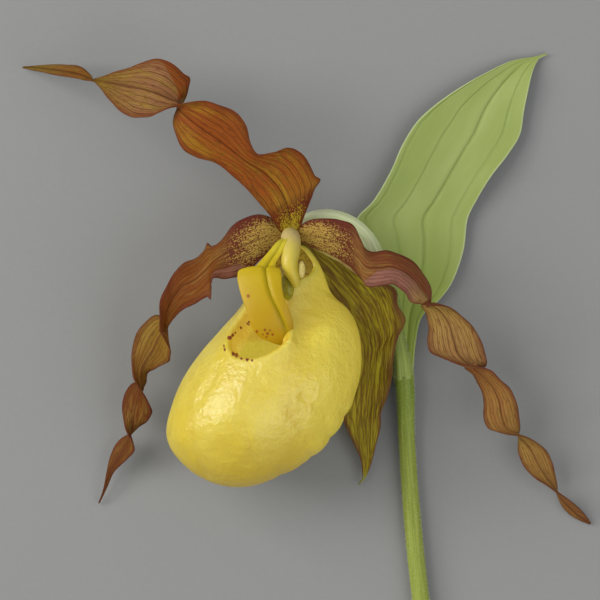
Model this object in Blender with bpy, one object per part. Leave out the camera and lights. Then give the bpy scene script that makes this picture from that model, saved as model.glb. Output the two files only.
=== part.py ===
"""Yellow lady's slipper orchid, picked with its leafy bract and laid on a table.

All sizes are millimetres. X is to the right and Y up in the view from above,
Z is the height over the table. The flower lies on its back, so it looks up.
Each thin organ is a sheet that follows stations along its middle line. A station
is x, y, height, left half width, right half width, roll and cup, where left is
the left side for someone walking from the base to the tip. A positive roll lifts
the left edge and a positive cup lifts both edges.
"""
import math

import bpy
import numpy as np

MM = 0.001

# Puts the origin under the middle of the whole box.
PLACE = (-1.25, 25.08, 0.0)

SEPAL_THICK = 0.8
PETAL_THICK = 0.8
BRACT_THICK = 0.9
STAMINODE_THICK = 1.3
POUCH_WALL = 0.8

COLOURS = {
    "stem": (0.21, 0.26, 0.06),
    "bract": (0.30, 0.38, 0.10),
    "ovary": (0.38, 0.43, 0.20),
    "dorsal_sepal": (0.20, 0.06, 0.02),
    "synsepal": (0.13, 0.09, 0.01),
    "petal_left": (0.18, 0.06, 0.02),
    "petal_right": (0.19, 0.07, 0.03),
    "labellum": (0.68, 0.52, 0.07),
    "column": (0.75, 0.62, 0.25),
    "staminode": (0.65, 0.46, 0.02),
    "anther_left": (0.80, 0.70, 0.35),
    "anther_right": (0.80, 0.70, 0.35),
    "stigma": (0.45, 0.50, 0.12),
}

# x, y, height, left half width, right half width, roll, cup
DORSAL_STATIONS = [
    (-1.8, 14.9, 20.4, 2.4, 2.4, 0, 15),
    (-2.0, 17.4, 21.8, 4.4, 4.0, 0, 18),
    (-2.9, 21.6, 23.8, 5.6, 5.2, -5, 12),
    (-5.4, 25.0, 25.0, 5.4, 5.4, -10, 6),
    (-9.2, 28.0, 26.0, 5.2, 4.6, -15, 0),
    (-13.6, 31.0, 27.0, 5.2, 5.0, -18, -4),
    (-18.0, 34.2, 27.5, 5.6, 5.4, -20, -6),
    (-21.6, 36.4, 27.4, 6.4, 4.8, -42, -6),
    (-24.2, 38.6, 26.6, 6.0, 5.4, -125, 0),
    (-27.6, 40.6, 25.0, 5.8, 5.8, -162, 4),
    (-32.4, 41.6, 21.8, 5.6, 5.6, -180, 4),
    (-37.0, 42.9, 18.4, 3.8, 3.8, -200, 0),
    (-41.9, 44.6, 14.0, 2.6, 2.6, -270, 0),
    (-48.6, 46.2, 7.5, 1.7, 1.7, -345, 0),
    (-56.4, 47.3, 0.6, 0.35, 0.35, -360, 0),
]

SYNSEPAL_STATIONS = [
    (0.6, 11.0, 15.2, 1.6, 1.6, 0, 0),
    (3.4, 8.0, 12.6, 3.4, 2.0, 0, 0),
    (7.6, 3.0, 10.2, 5.4, 2.2, 10, 0),
    (11.6, -2.4, 8.6, 7.4, 2.4, 14, 4),
    (13.8, -8.0, 7.9, 5.8, 3.4, 14, 6),
    (14.2, -16.0, 7.0, 4.6, 4.8, 14, 6),
    (13.2, -24.0, 5.8, 4.2, 4.4, 10, 6),
    (12.7, -30.0, 4.0, 2.6, 2.4, 5, 6),
    (12.6, -35.0, 2.0, 1.2, 1.0, 0, 0),
    (12.2, -37.4, 1.0, 0.4, 0.4, 0, 0),
]

LEFT_PETAL_STATIONS = [
    (-4.0, 12.8, 20.0, 2.2, 2.2, 0, 10),
    (-7.0, 12.0, 21.0, 4.4, 4.2, 0, 8),
    (-11.2, 10.2, 21.8, 5.8, 5.8, -5, 4),
    (-17.0, 7.7, 22.2, 4.0, 4.2, -20, 0),
    (-21.8, 3.4, 21.5, 4.3, 4.2, -32, 0),
    (-25.9, -1.8, 19.5, 4.4, 4.2, -62, 0),
    (-28.2, -7.4, 17.2, 5.2, 3.8, -122, 0),
    (-29.6, -11.6, 14.4, 4.4, 4.2, -170, 0),
    (-31.0, -15.4, 12.6, 3.9, 3.9, -225, 0),
    (-31.6, -18.4, 10.8, 3.6, 3.6, -270, 0),
    (-32.6, -22.4, 8.6, 3.3, 3.3, -355, 0),
    (-34.3, -27.1, 6.6, 2.6, 2.6, -450, 0),
    (-36.2, -31.4, 4.8, 2.3, 2.3, -530, 0),
    (-39.2, -37.2, 2.4, 0.9, 0.9, -560, 0),
    (-40.9, -41.2, 0.6, 0.35, 0.35, -570, 0),
]

RIGHT_PETAL_STATIONS = [
    (0.6, 12.8, 20.0, 2.0, 2.0, 0, 0),
    (4.0, 12.9, 20.9, 3.4, 3.2, 0, 0),
    (7.4, 11.9, 21.8, 4.2, 4.0, 6, 0),
    (10.1, 9.7, 22.0, 4.6, 4.2, 35, 0),
    (12.5, 7.6, 22.0, 5.0, 4.6, 66, 0),
    (15.6, 6.4, 21.4, 4.6, 4.6, 138, 0),
    (19.0, 5.8, 20.4, 3.8, 3.8, 165, 0),
    (21.6, 4.2, 18.8, 3.6, 3.6, 200, 0),
    (25.0, -0.8, 16.4, 3.8, 3.8, 270, 0),
    (28.8, -6.0, 14.2, 4.5, 4.5, 340, 0),
    (32.2, -9.9, 12.6, 4.3, 4.3, 382, 0),
    (34.7, -13.2, 11.4, 3.8, 3.8, 450, 0),
    (38.6, -17.8, 9.8, 2.9, 2.9, 510, 0),
    (40.8, -23.2, 8.6, 3.7, 3.7, 555, 0),
    (44.2, -27.5, 7.0, 2.8, 2.8, 630, 0),
    (47.2, -31.7, 5.2, 2.9, 2.9, 700, 0),
    (50.3, -36.0, 3.6, 2.0, 2.0, 745, 0),
    (52.4, -38.8, 2.6, 1.5, 1.5, 810, 0),
    (55.2, -41.7, 1.6, 1.2, 1.2, 890, 0),
    (58.9, -45.4, 0.6, 0.35, 0.35, 900, 0),
]

BRACT_STATIONS = [
    (20.8, -17.0, 1.0, 1.8, 1.6, 0, 5),
    (21.0, -13.0, 0.9, 2.8, 2.2, 0, 15),
    (22.0, -7.0, 0.7, 3.6, 2.4, 0, 20),
    (23.4, 0.0, 0.6, 6.5, 5.2, 0, 12),
    (25.0, 7.6, 0.9, 12.0, 7.6, 0, 8),
    (27.4, 16.2, 1.4, 15.6, 7.4, 0, 8),
    (31.0, 26.2, 1.8, 13.6, 8.2, 0, 8),
    (34.2, 31.8, 1.9, 12.0, 8.6, 0, 8),
    (37.4, 37.4, 1.8, 8.8, 8.2, 0, 8),
    (41.8, 42.8, 1.4, 5.4, 6.2, 0, 8),
    (46.4, 47.4, 1.0, 2.2, 2.6, 0, 6),
    (50.2, 50.2, 0.6, 0.35, 0.35, 0, 0),
]

# The groove of the staminode lies between its two lobes, the left one the larger.
STAMINODE_STATIONS = [
    (-4.4, 10.0, 26.9, 0.8, 0.8, 0, 0),
    (-6.0, 8.0, 27.8, 1.0, 1.0, 0, 0),
    (-7.2, 6.8, 28.6, 1.5, 2.2, 0, 20),
    (-7.4, 5.4, 29.2, 3.8, 5.0, 0, 25),
    (-6.9, 2.4, 29.8, 3.6, 5.0, 0, 25),
    (-5.4, -1.2, 29.8, 3.0, 5.0, 0, 25),
    (-3.4, -4.6, 29.2, 2.0, 4.0, 0, 20),
    (-2.6, -6.6, 28.4, 1.0, 2.2, 0, 10),
    (-2.3, -7.8, 27.8, 0.6, 0.6, 0, 0),
]

# x, y, height, radius
STEM_STATIONS = [
    (30.6, -100.0, 1.75, 1.75),
    (27.4, -80.0, 1.75, 1.75),
    (24.4, -60.0, 1.75, 1.75),
    (23.0, -47.0, 1.8, 1.75),
    (22.1, -36.0, 2.0, 1.7),
    (21.5, -26.0, 2.7, 1.7),
    (21.3, -19.0, 3.7, 1.9),
    (21.0, -16.4, 4.1, 2.0),
]
OVARY_STATIONS = [
    (20.9, -14.7, 4.3, 1.9),
    (20.4, -9.0, 4.5, 1.7),
    (18.6, 0.0, 5.6, 1.9),
    (16.6, 7.6, 8.0, 2.2),
    (13.8, 12.6, 10.8, 2.4),
    (9.6, 15.4, 13.0, 2.4),
    (5.0, 16.0, 14.6, 2.3),
    (1.4, 15.0, 15.8, 2.2),
    (-1.6, 13.2, 16.8, 2.2),
]
COLUMN_STATIONS = [
    (-1.8, 12.6, 20.0, 1.5),
    (-1.8, 12.2, 22.2, 1.9),
    (-1.7, 10.6, 24.4, 1.9),
    (-1.6, 8.4, 25.6, 1.7),
    (-1.3, 6.0, 26.0, 1.4),
    (-1.0, 3.4, 25.4, 0.9),
]

# centre x, y, height, half sizes along x, y and height
ANTHER_RIGHT = (0.75, 5.8, 24.9, 0.6, 1.3, 0.8)
ANTHER_LEFT = (-3.4, 5.8, 25.0, 0.6, 1.2, 0.8)
STIGMA = (-1.9, 2.6, 23.3, 1.4, 2.0, 1.1)

# The pouch is drawn around its middle, as the radius of its outline for each
# direction in the view from above. The high radii at 60 to 85 degrees are the claw.
POUCH_MIDDLE = (-7.6, -20.0, 17.0)
POUCH_HALF_DEPTH = 17.0
POUCH_OUTLINE = [
    (-172, 18.4), (-159, 20.9), (-145, 20.4), (-131, 19.9), (-109, 18.4),
    (-95, 17.1), (-78, 15.4), (-56, 14.9), (-28, 15.7), (-5, 17.4),
    (16, 20.4), (25, 22.1), (35, 23.5), (47, 24.9), (63, 27.6),
    (73, 30.6), (83, 28.0), (100, 19.3), (125, 16.0), (148, 15.4), (169, 16.5),
]
# Under the claw the pouch is less deep, by up to this much.
CLAW_LIFT = 9.0
CLAW_WAY = math.radians(72.0)
# The rim of the mouth, from the front edge towards the right of the view, round
# the claw under the column and back along the left side.
POUCH_RIM = [
    (-9.6, -12.2, 32.4), (-5.0, -10.8, 32.4), (-1.8, -8.4, 31.0),
    (-0.8, -3.6, 26.6), (-0.2, 0.8, 22.8), (2.4, 4.2, 20.6),
    (3.8, 6.8, 19.2), (1.8, 10.0, 17.8), (-2.2, 10.2, 17.6), (-6.0, 8.0, 17.8),
    (-8.8, 3.4, 18.8), (-10.8, -1.0, 20.4), (-13.8, -5.6, 24.0),
    (-14.9, -9.0, 28.0), (-13.4, -11.6, 31.0),
]


def smooth_rows(stations, count):
    """Rows at even steps along a smooth curve through all the stations."""
    rows = np.array(stations, dtype=float)
    steps = np.linalg.norm(np.diff(rows[:, :3], axis=0), axis=1)
    places = np.concatenate(([0.0], np.cumsum(steps)))
    slopes = np.gradient(rows, places, axis=0)
    wanted = np.linspace(0.0, places[-1], count)
    left = np.clip(np.searchsorted(places, wanted, side="right") - 1, 0, len(rows) - 2)
    width = (places[left + 1] - places[left])[:, None]
    part = (wanted - places[left])[:, None] / width
    square = part ** 2
    cube = part ** 3
    return ((2 * cube - 3 * square + 1) * rows[left]
            + (cube - 2 * square + part) * width * slopes[left]
            + (3 * square - 2 * cube) * rows[left + 1]
            + (cube - square) * width * slopes[left + 1])


def unit(vectors):
    """The same vectors with length one."""
    lengths = np.linalg.norm(vectors, axis=-1, keepdims=True)
    return vectors / np.maximum(lengths, 1e-9)


def sheet_surface(stations, along, across):
    """Grid of points on the middle surface of a sheet, base first, left edge last."""
    rows = smooth_rows(stations, along)
    middle = rows[:, :3]
    travel = np.gradient(middle, axis=0)
    side = unit(np.stack([-travel[:, 1], travel[:, 0], np.zeros(along)], axis=1))
    up = np.array([0.0, 0.0, 1.0])
    grid = np.zeros((along, across, 3))
    for column, place in enumerate(np.linspace(-1.0, 1.0, across)):
        sign = 1.0 if place >= 0 else -1.0
        width = rows[:, 3] if place >= 0 else rows[:, 4]
        reach = (np.maximum(width, 0.3) * abs(place))[:, None]
        angle = np.radians(sign * rows[:, 5] + rows[:, 6] * abs(place))[:, None]
        grid[:, column] = middle + reach * (sign * side * np.cos(angle) + up * np.sin(angle))
    return grid


def surface_normals(grid):
    """Unit normals of a grid of points."""
    along = np.gradient(grid, axis=0)
    across = np.gradient(grid, axis=1)
    return unit(np.cross(along, across))


def add_solid(name, points, faces):
    """Make one closed mesh object of a node, with all its faces outward."""
    points = np.asarray(points)
    volume = 0.0
    for face in faces:
        corner = points[face[0]]
        for second, third in zip(face[1:-1], face[2:]):
            volume += np.dot(corner, np.cross(points[second], points[third]))
    if volume < 0:
        faces = [tuple(reversed(face)) for face in faces]
    mesh = bpy.data.meshes.new(name)
    placed = (points + np.array(PLACE)) * MM
    mesh.from_pydata([tuple(point) for point in placed], [], faces)
    mesh.update()
    material = bpy.data.materials.new(name)
    material.use_nodes = True
    shader = material.node_tree.nodes["Principled BSDF"]
    shader.inputs["Base Color"].default_value = (*COLOURS[name], 1.0)
    shader.inputs["Roughness"].default_value = 0.6
    mesh.materials.append(material)
    solid = bpy.data.objects.new(name, mesh)
    bpy.context.collection.objects.link(solid)
    return solid


def add_sheet(name, stations, along, across, thick):
    """Add a leaf-like node: a sheet of even thickness with a thinner edge."""
    grid = sheet_surface(stations, along, across)
    normals = surface_normals(grid)
    edge = 1.0 - 0.5 * np.abs(np.linspace(-1.0, 1.0, across)) ** 4
    half = (0.5 * thick * edge)[None, :, None]
    front = (grid + normals * half).reshape(-1, 3)
    back = (grid - normals * half).reshape(-1, 3)
    points = np.concatenate([front, back])
    under = along * across
    faces = []
    for row in range(along - 1):
        for column in range(across - 1):
            first = row * across + column
            quad = (first, first + 1, first + across + 1, first + across)
            faces.append(quad)
            faces.append(tuple(under + corner for corner in reversed(quad)))
    border = [column for column in range(across)]
    border += [row * across + across - 1 for row in range(1, along)]
    border += [(along - 1) * across + column for column in range(across - 2, -1, -1)]
    border += [row * across for row in range(along - 2, 0, -1)]
    for here, there in zip(border, border[1:] + border[:1]):
        faces.append((there, here, under + here, under + there))
    return add_solid(name, points, faces)


def add_tube(name, stations, along, sides):
    """Add a round node along its stations, with domed ends."""
    rows = smooth_rows(stations, along)
    middle = rows[:, :3]
    travel = unit(np.gradient(middle, axis=0))
    side = unit(np.cross(travel, np.array([0.0, 0.0, 1.0])))
    lift = unit(np.cross(side, travel))
    angles = np.linspace(0.0, 2.0 * math.pi, sides, endpoint=False)
    rings = []
    for turn, end in ((-1, 0), (1, along - 1)):
        dome = []
        for lean in (0.9, 0.6, 0.3):
            radius = rows[end, 3] * math.sqrt(1.0 - lean ** 2)
            centre = middle[end] + turn * travel[end] * 0.35 * rows[end, 3] * lean
            dome.append((centre, side[end], lift[end], radius))
        rings.append(dome)
    body = [(middle[i], side[i], lift[i], rows[i, 3]) for i in range(along)]
    loops = rings[0] + body + rings[1][::-1]
    points = []
    for centre, right, above, radius in loops:
        for angle in angles:
            points.append(centre + radius * (right * math.cos(angle) + above * math.sin(angle)))
    faces = []
    for loop in range(len(loops) - 1):
        for step in range(sides):
            here = loop * sides + step
            there = loop * sides + (step + 1) % sides
            faces.append((here, there, there + sides, here + sides))
    faces.append(tuple(range(sides - 1, -1, -1)))
    last = (len(loops) - 1) * sides
    faces.append(tuple(range(last, last + sides)))
    return add_solid(name, points, faces)


def add_bead(name, shape):
    """Add a small egg-shaped node."""
    centre = np.array(shape[:3])
    half = np.array(shape[3:])
    rings = 8
    sides = 14
    points = [centre + half * np.array([0.0, 1.0, 0.0])]
    for ring in range(1, rings):
        fall = math.pi * ring / rings
        for step in range(sides):
            turn = 2.0 * math.pi * step / sides
            ball = (math.sin(fall) * math.cos(turn), math.cos(fall),
                    math.sin(fall) * math.sin(turn))
            points.append(centre + half * np.array(ball))
    points.append(centre - half * np.array([0.0, 1.0, 0.0]))
    faces = close_grid(1, rings - 1, sides)
    faces += [(0, 1 + (step + 1) % sides, 1 + step) for step in range(sides)]
    last = len(points) - 1
    start = last - sides
    faces += [(last, start + step, start + (step + 1) % sides) for step in range(sides)]
    return add_solid(name, points, faces)


def close_grid(first, rings, sides):
    """Quads between rings of points that each close on themselves."""
    faces = []
    for ring in range(rings - 1):
        for step in range(sides):
            here = first + ring * sides + step
            there = first + ring * sides + (step + 1) % sides
            faces.append((here, there, there + sides, here + sides))
    return faces


def pouch_radius(directions):
    """Distance from the pouch's middle to its outside, for unit directions."""
    angles = [angle for angle, radius in POUCH_OUTLINE]
    radii = [radius for angle, radius in POUCH_OUTLINE]
    turn = np.degrees(np.arctan2(directions[..., 1], directions[..., 0]))
    total = np.zeros(turn.shape)
    weights = np.zeros(turn.shape)
    for shift, weight in ((-8.0, 1.0), (-4.0, 2.0), (0.0, 3.0), (4.0, 2.0), (8.0, 1.0)):
        total += weight * np.interp(turn + shift, angles, radii, period=360.0)
        weights += weight
    outline = total / weights
    flat = np.hypot(directions[..., 0], directions[..., 1])
    claw = np.clip(np.cos(np.radians(turn) - CLAW_WAY), 0.0, 1.0) ** 4
    lift = np.where(directions[..., 2] < 0.0, CLAW_LIFT * claw * flat, 0.0)
    depth = POUCH_HALF_DEPTH - lift
    return 1.0 / np.sqrt((flat / outline) ** 2 + (directions[..., 2] / depth) ** 2)


def pouch_grid(sides, rings):
    """Outer points of the pouch, from the rim of the mouth to the pole behind it."""
    middle = np.array(POUCH_MIDDLE)
    closed = POUCH_RIM[-3:] + POUCH_RIM + POUCH_RIM[:4]
    loop = smooth_rows(closed, 40 * len(closed))
    start = int(np.argmin(np.linalg.norm(loop - np.array(POUCH_RIM[0]), axis=1)))
    ends = np.linalg.norm(loop - loop[start], axis=1)
    ends[:start + 60] = 1e9
    loop = loop[start:int(np.argmin(ends))]
    lengths = np.concatenate(([0.0], np.cumsum(np.linalg.norm(np.diff(loop, axis=0), axis=1))))
    wanted = np.linspace(0.0, lengths[-1], sides, endpoint=False)
    rim = np.stack([np.interp(wanted, lengths, loop[:, axis]) for axis in range(3)], axis=1)
    reach = rim - middle
    start_way = unit(reach)
    far = -unit(start_way.mean(axis=0))
    stretch = np.linalg.norm(reach, axis=1) / pouch_radius(start_way)
    grid = np.zeros((rings, sides, 3))
    arc = np.arccos(np.clip(start_way @ far, -1.0, 1.0))
    for ring in range(rings):
        part = ring / rings
        near = np.sin((1.0 - part) * arc) / np.sin(arc)
        away = np.sin(part * arc) / np.sin(arc)
        way = unit(near[:, None] * start_way + away[:, None] * far)
        fade = np.clip(1.0 - part / 0.35, 0.0, 1.0)
        fade = fade * fade * (3.0 - 2.0 * fade)
        radius = pouch_radius(way) * (1.0 + (stretch - 1.0) * fade)
        grid[ring] = middle + way * radius[:, None]
    pole = middle + far * pouch_radius(far[None, :])[0]
    return grid, pole, far


def add_pouch(name, sides, rings):
    """Add the hollow slipper: an outer and an inner skin joined at the mouth's rim."""
    outer, outer_pole, far = pouch_grid(sides, rings)
    wrapped = np.concatenate([outer[:, -1:], outer, outer[:, :1]], axis=1)
    normals = surface_normals(wrapped)[:, 1:-1]
    outward = np.sign(np.sum(normals * (outer - np.array(POUCH_MIDDLE)), axis=-1))
    normals *= outward[..., None]
    inner = outer - normals * POUCH_WALL
    inner_pole = outer_pole - far * POUCH_WALL
    points = np.concatenate([outer.reshape(-1, 3), inner.reshape(-1, 3),
                             outer_pole[None], inner_pole[None]])
    size = rings * sides
    faces = close_grid(0, rings, sides)
    faces += [tuple(reversed(face)) for face in close_grid(size, rings, sides)]
    last = (rings - 1) * sides
    for step in range(sides):
        after = (step + 1) % sides
        faces.append((last + step, last + after, 2 * size))
        faces.append((size + last + after, size + last + step, 2 * size + 1))
        faces.append((after, step, size + step, size + after))
    return add_solid(name, points, faces)


def clear_scene():
    """Remove all the objects that the scene starts with."""
    for old in list(bpy.data.objects):
        bpy.data.objects.remove(old, do_unlink=True)


def main():
    clear_scene()
    add_tube("stem", STEM_STATIONS, 26, 16)
    add_tube("ovary", OVARY_STATIONS, 30, 16)
    add_sheet("bract", BRACT_STATIONS, 36, 11, BRACT_THICK)
    add_sheet("dorsal_sepal", DORSAL_STATIONS, 60, 9, SEPAL_THICK)
    add_sheet("synsepal", SYNSEPAL_STATIONS, 32, 9, SEPAL_THICK)
    add_sheet("petal_left", LEFT_PETAL_STATIONS, 70, 7, PETAL_THICK)
    add_sheet("petal_right", RIGHT_PETAL_STATIONS, 80, 7, PETAL_THICK)
    add_pouch("labellum", 48, 16)
    add_tube("column", COLUMN_STATIONS, 10, 14)
    add_sheet("staminode", STAMINODE_STATIONS, 24, 9, STAMINODE_THICK)
    add_bead("anther_left", ANTHER_LEFT)
    add_bead("anther_right", ANTHER_RIGHT)
    add_bead("stigma", STIGMA)


main()
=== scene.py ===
"""Looks of the yellow lady's slipper orchid, picked and laid on its back.

All shapes are given in millimetres, with X to the right and Y up in the view from
above and Z the height over the table. PLACE moves them into the row frame, and MM
turns them into metres. Thin organs are blades between a left and a right edge, as seen
when walking from the base to the tip. Twisted petals are blades whose edges change
sides over and over.
"""
import math

import bpy
import numpy as np
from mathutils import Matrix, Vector


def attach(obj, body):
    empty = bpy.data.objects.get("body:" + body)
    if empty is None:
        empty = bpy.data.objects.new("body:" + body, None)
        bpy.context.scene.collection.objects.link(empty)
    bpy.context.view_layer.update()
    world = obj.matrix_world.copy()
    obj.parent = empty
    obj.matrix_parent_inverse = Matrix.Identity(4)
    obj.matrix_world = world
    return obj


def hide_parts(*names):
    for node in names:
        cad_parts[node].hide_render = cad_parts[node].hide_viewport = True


MM = 0.001
PLACE = np.array([-1.25, 25.08, 0.0])

# The camera looks straight down. FOCUS_HEIGHT is where the picture is PICTURE_WIDTH wide.
FOCUS_HEIGHT = 15.0
CAMERA_DISTANCE = 1000.0
PICTURE_WIDTH = 120.0
SENSOR = 36.0

# Edges of the blades from base to tip: left x, y, height, then right x, y, height.
DORSAL_EDGES = [
    (-3.6, 13.0, 19.6, -0.3, 12.8, 19.6),
    (-4.6, 14.6, 20.8, 0.6, 16.0, 20.8),
    (-5.2, 15.6, 21.6, 1.6, 18.6, 21.8),
    (-6.0, 16.8, 22.3, 2.6, 21.2, 22.6),
    (-7.0, 18.0, 23.0, 3.2, 23.4, 22.8),
    (-7.9, 19.0, 23.6, 2.4, 25.8, 23.0),
    (-8.8, 20.0, 24.0, 0.6, 28.8, 23.4),
    (-10.2, 21.6, 24.6, -2.4, 30.2, 24.6),
    (-11.6, 23.0, 25.0, -5.4, 29.2, 26.0),
    (-13.2, 24.4, 25.4, -8.2, 28.8, 27.0),
    (-15.0, 26.0, 25.8, -9.8, 31.2, 28.0),
    (-17.4, 27.4, 26.0, -10.6, 34.4, 28.8),
    (-20.4, 28.2, 25.6, -12.4, 36.8, 29.6),
    (-23.0, 29.8, 25.0, -15.8, 38.4, 30.4),
    (-24.6, 32.6, 24.0, -18.6, 39.1, 30.6),
    (-25.0, 35.8, 23.0, -21.4, 39.1, 30.4),
    (-23.8, 38.2, 22.2, -23.6, 38.6, 29.8),
    (-22.6, 40.8, 21.8, -25.8, 37.9, 29.0),
    (-22.3, 43.6, 21.6, -28.2, 36.9, 27.8),
    (-25.2, 46.8, 21.8, -31.0, 36.1, 26.0),
    (-28.4, 48.0, 21.6, -33.4, 36.3, 24.2),
    (-31.6, 47.1, 20.8, -35.6, 37.4, 22.2),
    (-35.0, 46.0, 19.2, -37.6, 39.4, 20.0),
    (-38.6, 45.0, 17.0, -39.4, 41.6, 17.4),
    (-40.8, 44.3, 15.2, -41.0, 43.6, 15.0),
    (-42.4, 43.9, 14.4, -41.8, 44.8, 12.8),
    (-44.6, 44.4, 12.0, -43.6, 46.6, 11.0),
    (-48.8, 45.2, 8.4, -47.6, 47.4, 7.4),
    (-52.8, 46.2, 4.4, -52.0, 47.5, 3.8),
    (-56.2, 47.0, 1.0, -56.0, 47.3, 1.0),
]
SYNSEPAL_EDGES = [
    (0.4, 13.6, 16.4, -1.4, 11.8, 17.0),
    (2.2, 12.4, 14.6, 0.6, 9.4, 15.2),
    (5.6, 10.4, 13.0, 1.8, 6.0, 13.0),
    (10.4, 7.6, 11.4, 3.6, 2.0, 10.8),
    (15.4, 4.0, 10.4, 5.4, -3.0, 9.2),
    (19.4, 1.8, 10.0, 7.6, -8.0, 7.8),
    (19.7, -1.0, 9.6, 8.6, -11.0, 7.3),
    (21.2, -4.0, 9.4, 9.0, -13.6, 7.0),
    (19.8, -7.4, 8.8, 9.0, -16.0, 6.6),
    (18.8, -12.0, 8.0, 8.6, -19.4, 6.0),
    (18.4, -16.4, 7.2, 8.5, -22.4, 5.4),
    (17.6, -19.6, 6.4, 8.6, -23.8, 5.0),
    (16.4, -22.6, 5.8, 9.6, -26.4, 4.6),
    (16.3, -25.6, 5.0, 11.0, -29.4, 3.8),
    (15.4, -29.2, 3.8, 12.2, -32.2, 3.0),
    (14.4, -33.2, 2.6, 12.6, -34.6, 2.2),
    (13.2, -36.2, 1.6, 12.5, -36.4, 1.6),
    (12.0, -37.4, 1.0, 11.8, -37.3, 1.0),
]
LEFT_PETAL_EDGES = [
    (-3.6, 11.2, 20.0, -3.2, 14.2, 19.2),
    (-7.2, 8.6, 21.2, -5.8, 16.4, 19.6),
    (-11.0, 5.2, 22.0, -9.2, 16.9, 20.0),
    (-14.5, 4.2, 22.6, -13.4, 14.8, 20.2),
    (-17.4, 4.0, 23.2, -16.2, 11.2, 20.5),
    (-17.8, 1.4, 24.0, -18.4, 10.4, 20.0),
    (-20.0, -0.3, 22.5, -20.4, 8.5, 20.5),
    (-23.0, -1.8, 20.5, -23.4, 7.2, 21.0),
    (-25.4, -4.0, 18.8, -25.6, 4.4, 21.4),
    (-26.4, -5.8, 17.2, -27.4, 1.0, 21.6),
    (-26.8, -7.0, 15.6, -28.0, -2.6, 21.0),
    (-27.3, -6.2, 14.0, -27.9, -5.8, 20.4),
    (-27.6, -3.6, 12.8, -26.8, -7.8, 19.8),
    (-29.2, -3.1, 12.4, -26.2, -9.2, 18.6),
    (-31.8, -5.2, 12.0, -25.9, -10.8, 17.2),
    (-33.4, -8.4, 11.8, -26.1, -12.2, 15.6),
    (-33.8, -12.0, 12.0, -28.6, -13.5, 13.0),
    (-33.4, -15.2, 12.8, -30.5, -14.8, 10.6),
    (-32.4, -17.6, 13.4, -31.2, -16.8, 8.8),
    (-31.4, -18.6, 13.2, -32.0, -18.0, 7.6),
    (-30.4, -20.2, 12.4, -33.2, -16.8, 7.2),
    (-29.8, -22.2, 11.0, -35.0, -18.2, 7.0),
    (-30.4, -24.0, 9.2, -35.8, -21.2, 7.6),
    (-32.4, -25.6, 6.8, -35.4, -24.6, 8.8),
    (-34.2, -27.0, 5.0, -34.8, -26.8, 9.0),
    (-35.2, -27.4, 4.0, -34.0, -28.0, 8.2),
    (-37.0, -28.8, 3.4, -33.4, -30.2, 6.8),
    (-38.4, -31.6, 3.2, -35.0, -32.2, 5.0),
    (-39.2, -35.0, 2.8, -37.6, -34.8, 3.6),
    (-39.8, -38.0, 2.0, -39.0, -37.8, 2.4),
    (-40.9, -41.2, 0.8, -40.6, -41.2, 0.8),
]
RIGHT_PETAL_EDGES = [
    (-0.8, 14.0, 19.5, 0.4, 11.6, 19.5),
    (1.6, 15.8, 20.8, 3.0, 10.0, 20.0),
    (4.4, 16.2, 21.6, 6.0, 8.4, 20.4),
    (8.0, 15.9, 22.0, 9.0, 6.6, 20.6),
    (10.4, 15.0, 22.4, 11.2, 5.0, 20.8),
    (11.6, 13.0, 22.6, 12.4, 3.8, 21.4),
    (12.6, 10.6, 22.0, 13.6, 2.6, 22.2),
    (14.6, 9.6, 21.0, 16.4, 2.9, 22.8),
    (17.4, 9.8, 20.0, 18.6, 3.0, 22.6),
    (20.4, 8.9, 19.0, 20.2, 2.0, 22.4),
    (23.2, 7.0, 18.0, 21.2, 0.8, 22.0),
    (25.4, 4.0, 17.0, 22.4, -0.6, 21.4),
    (26.2, 1.0, 16.0, 24.0, -0.9, 20.8),
    (25.6, -0.9, 15.4, 25.8, -0.9, 20.0),
    (24.2, -1.2, 14.6, 28.2, -1.1, 18.8),
    (25.2, -2.8, 14.0, 31.0, -2.2, 17.4),
    (25.7, -5.6, 14.0, 34.0, -4.8, 15.6),
    (25.5, -8.6, 14.4, 36.2, -8.0, 13.6),
    (26.2, -10.4, 15.0, 37.2, -10.8, 12.0),
    (29.0, -11.8, 15.4, 37.5, -12.6, 10.8),
    (32.0, -12.6, 15.2, 37.0, -13.6, 9.8),
    (35.2, -13.0, 14.6, 35.0, -13.2, 9.2),
    (37.4, -13.7, 13.8, 33.2, -13.6, 8.8),
    (39.4, -15.2, 13.0, 35.0, -15.4, 8.6),
    (41.6, -17.2, 12.0, 36.4, -18.0, 8.8),
    (43.2, -19.6, 10.8, 37.0, -21.0, 9.2),
    (43.9, -22.0, 9.6, 36.9, -23.6, 9.8),
    (44.2, -24.6, 8.2, 38.0, -26.0, 10.0),
    (44.3, -26.6, 6.8, 41.0, -26.8, 9.6),
    (44.0, -27.6, 6.0, 44.2, -27.3, 9.0),
    (43.9, -28.8, 5.6, 46.6, -28.2, 8.2),
    (44.2, -31.2, 5.6, 49.2, -29.8, 7.0),
    (45.2, -33.6, 5.8, 50.8, -32.4, 5.6),
    (47.4, -35.9, 6.0, 51.6, -35.2, 4.2),
    (50.2, -37.6, 5.8, 52.1, -37.8, 3.2),
    (52.4, -39.0, 5.2, 52.1, -39.2, 2.6),
    (54.4, -40.4, 4.2, 52.8, -41.2, 2.0),
    (56.8, -42.4, 2.8, 54.6, -43.4, 1.6),
    (58.2, -44.0, 1.6, 57.0, -44.8, 1.2),
    (59.0, -45.2, 0.8, 58.7, -45.5, 0.8),
]
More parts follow.
